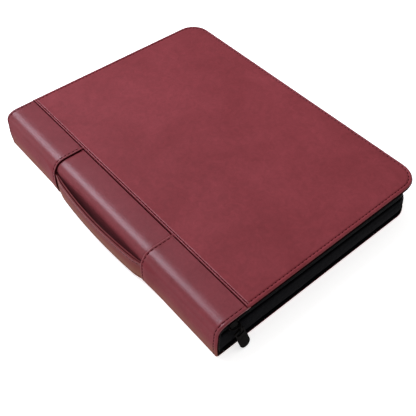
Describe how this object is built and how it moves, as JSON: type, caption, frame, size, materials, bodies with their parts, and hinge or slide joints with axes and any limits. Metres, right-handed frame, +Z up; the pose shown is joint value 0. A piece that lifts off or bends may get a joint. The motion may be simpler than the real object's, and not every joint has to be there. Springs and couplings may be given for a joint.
{
  "type": "coin album",
  "caption": "Zip-round ring-binder album for coin pages, with padded leather covers, a fabric gusset, a ring mechanism and a carrying strap along its spine.",
  "frame": {"origin": "middle of the face the album rests on, under the back cover", "axes": "+X from the spine to the fore edge, +Y towards the head edge, +Z up from the back cover to the front cover"},
  "size_m": [0.2676, 0.3485, 0.045],
  "materials": {
    "panel_leather": "matte mottled wine-red leather-look cover with a fine pebble grain",
    "wrap_leather": "smoother wine-red leather with a soft satin highlight",
    "strap_leather": "smooth wine-red strap leather",
    "core_board": "grey-brown bookbinder's board",
    "foam": "soft white padding",
    "lining_cloth": "black woven lining",
    "gusset_cloth": "black plain-weave gusset and zip tape",
    "zip_coil": "black nylon coil",
    "zip_metal": "dark gunmetal lacquer",
    "ring_steel": "bright nickel plate",
    "page_film": "clear welded pocket film"
  },
  "bodies": {
    "back_cover": {"back_panel": "panel_leather", "back_felt": "foam", "back_board": "core_board", "back_lining": "lining_cloth", "back_wrap": "wrap_leather", "back_band_tail": "wrap_leather", "back_band_head": "wrap_leather", "lower_gusset_tail": "gusset_cloth", "lower_gusset_head": "gusset_cloth", "lower_gusset_fore": "gusset_cloth", "lower_gusset_corners": "gusset_cloth", "lower_zip_tape": "gusset_cloth", "lower_zip_coil": "zip_coil", "lower_zip_stops": "zip_metal", "ring_rail": "ring_steel", "rail_rivets": "ring_steel", "lever_pins": "ring_steel"},
    "spine": {"spine_wrap": "wrap_leather", "spine_board": "core_board", "spine_lining": "lining_cloth", "spine_band_tail": "wrap_leather", "spine_binding_tail": "gusset_cloth", "spine_band_head": "wrap_leather", "spine_binding_head": "gusset_cloth", "strap_end_tail": "strap_leather", "strap_end_head": "strap_leather"},
    "front_cover": {"front_panel": "panel_leather", "front_foam": "foam", "front_board": "core_board", "front_lining": "lining_cloth", "front_wrap": "wrap_leather", "front_band_tail": "wrap_leather", "front_band_head": "wrap_leather", "upper_gusset_tail": "gusset_cloth", "upper_gusset_head": "gusset_cloth", "upper_gusset_fore": "gusset_cloth", "upper_gusset_corners": "gusset_cloth", "upper_zip_tape": "gusset_cloth", "upper_zip_coil": "zip_coil", "upper_zip_stops": "zip_metal"},
    "strap": {"strap_grip_lining": "strap_leather", "strap_grip_face": "strap_leather"},
    "zip_slider": {"slider_body": "zip_metal", "slider_bail": "zip_metal"},
    "link": {"puller_link": "zip_metal"},
    "tab": {"pull_tab": "zip_metal"},
    "rings_left": {"left_blade": "ring_steel", "left_half_rings": "ring_steel"},
    "rings_right": {"right_blade": "ring_steel", "right_half_rings": "ring_steel"},
    "lever_tail": {"lever_tail": "ring_steel"},
    "lever_head": {"lever_head": "ring_steel"},
    "page_1": {"coin_page_1": "page_film"},
    "page_2": {"coin_page_2": "page_film"},
    "page_3": {"coin_page_3": "page_film"},
    "page_4": {"coin_page_4": "page_film"},
    "page_5": {"coin_page_5": "page_film"},
    "page_6": {"coin_page_6": "page_film"}
  },
  "joints": [
    {"name": "spine_fold", "type": "hinge", "parent": "back_cover", "child": "spine", "pos_m": [-0.13, 0, 0], "axis": [0, -1, 0], "range_deg": [0, 90]},
    {"name": "cover_fold", "type": "hinge", "parent": "spine", "child": "front_cover", "pos_m": [-0.13, 0, 0.045], "axis": [0, -1, 0], "range_deg": [0, 90]},
    {"name": "strap_pull", "type": "slide", "parent": "spine", "child": "strap", "axis": [-1, 0, 0], "range_m": [0, 0.01], "stiffness_N_per_m": 100},
    {"name": "zip_run", "type": "slide", "parent": "back_cover", "child": "zip_slider", "axis": [0.9999, 0, -0.0115], "range_m": [0, 0.2]},
    {"name": "link_swing", "type": "hinge", "parent": "zip_slider", "child": "link", "pos_m": [-0.1062, -0.1714, 0.02875], "axis": [-1, 0, 0], "range_deg": [0, 85]},
    {"name": "tab_swing", "type": "hinge", "parent": "link", "child": "tab", "pos_m": [-0.1062, -0.1721, 0.0238], "axis": [-1, 0, 0], "range_deg": [0, 80]},
    {"name": "lever_head_press", "type": "hinge", "parent": "back_cover", "child": "lever_head", "pos_m": [-0.1055, 0.1215, 0.0072], "axis": [-1, 0, 0], "range_deg": [0, 20]},
    {"name": "lever_tail_press", "type": "hinge", "parent": "back_cover", "child": "lever_tail", "pos_m": [-0.1055, -0.1215, 0.0072], "axis": [1, 0, 0], "range_deg": [0, 20]},
    {"name": "rings_left_open", "type": "hinge", "parent": "back_cover", "child": "rings_left", "pos_m": [-0.11495, 0, 0.0054], "axis": [0, -1, 0], "range_deg": [0, 10]},
    {"name": "rings_right_open", "type": "hinge", "parent": "back_cover", "child": "rings_right", "pos_m": [-0.09605, 0, 0.0054], "axis": [0, 1, 0], "range_deg": [0, 10]},
    {"name": "page_6_turn", "type": "hinge", "parent": "back_cover", "child": "page_6", "pos_m": [-0.1055, 0, 0.023], "axis": [0, -1, 0], "range_deg": [0, 174]},
    {"name": "page_5_turn", "type": "hinge", "parent": "back_cover", "child": "page_5", "pos_m": [-0.1055, 0, 0.023], "axis": [0, -1, 0], "range_deg": [0, 168]},
    {"name": "page_4_turn", "type": "hinge", "parent": "back_cover", "child": "page_4", "pos_m": [-0.1055, 0, 0.023], "axis": [0, -1, 0], "range_deg": [0, 160]},
    {"name": "page_3_turn", "type": "hinge", "parent": "back_cover", "child": "page_3", "pos_m": [-0.1055, 0, 0.023], "axis": [0, -1, 0], "range_deg": [0, 20]},
    {"name": "page_2_turn", "type": "hinge", "parent": "back_cover", "child": "page_2", "pos_m": [-0.1055, 0, 0.023], "axis": [0, -1, 0], "range_deg": [0, 11]},
    {"name": "page_1_turn", "type": "hinge", "parent": "back_cover", "child": "page_1", "pos_m": [-0.1055, 0, 0.023], "axis": [0, -1, 0], "range_deg": [0, 4]}
  ],
  "couplings": [
    {"joint": "cover_fold", "follows": "spine_fold", "ratio": 1},
    {"joint": "lever_tail_press", "follows": "lever_head_press", "ratio": 1},
    {"joint": "rings_left_open", "follows": "lever_head_press", "ratio": 0.5},
    {"joint": "rings_right_open", "follows": "lever_head_press", "ratio": 0.5},
    {"joint": "page_6_turn", "follows": "spine_fold", "ratio": 1.9333},
    {"joint": "page_5_turn", "follows": "spine_fold", "ratio": 1.8667},
    {"joint": "page_4_turn", "follows": "spine_fold", "ratio": 1.7778},
    {"joint": "page_3_turn", "follows": "spine_fold", "ratio": 0.22222},
    {"joint": "page_2_turn", "follows": "spine_fold", "ratio": 0.12222},
    {"joint": "page_1_turn", "follows": "spine_fold", "ratio": 0.044444}
  ]
}
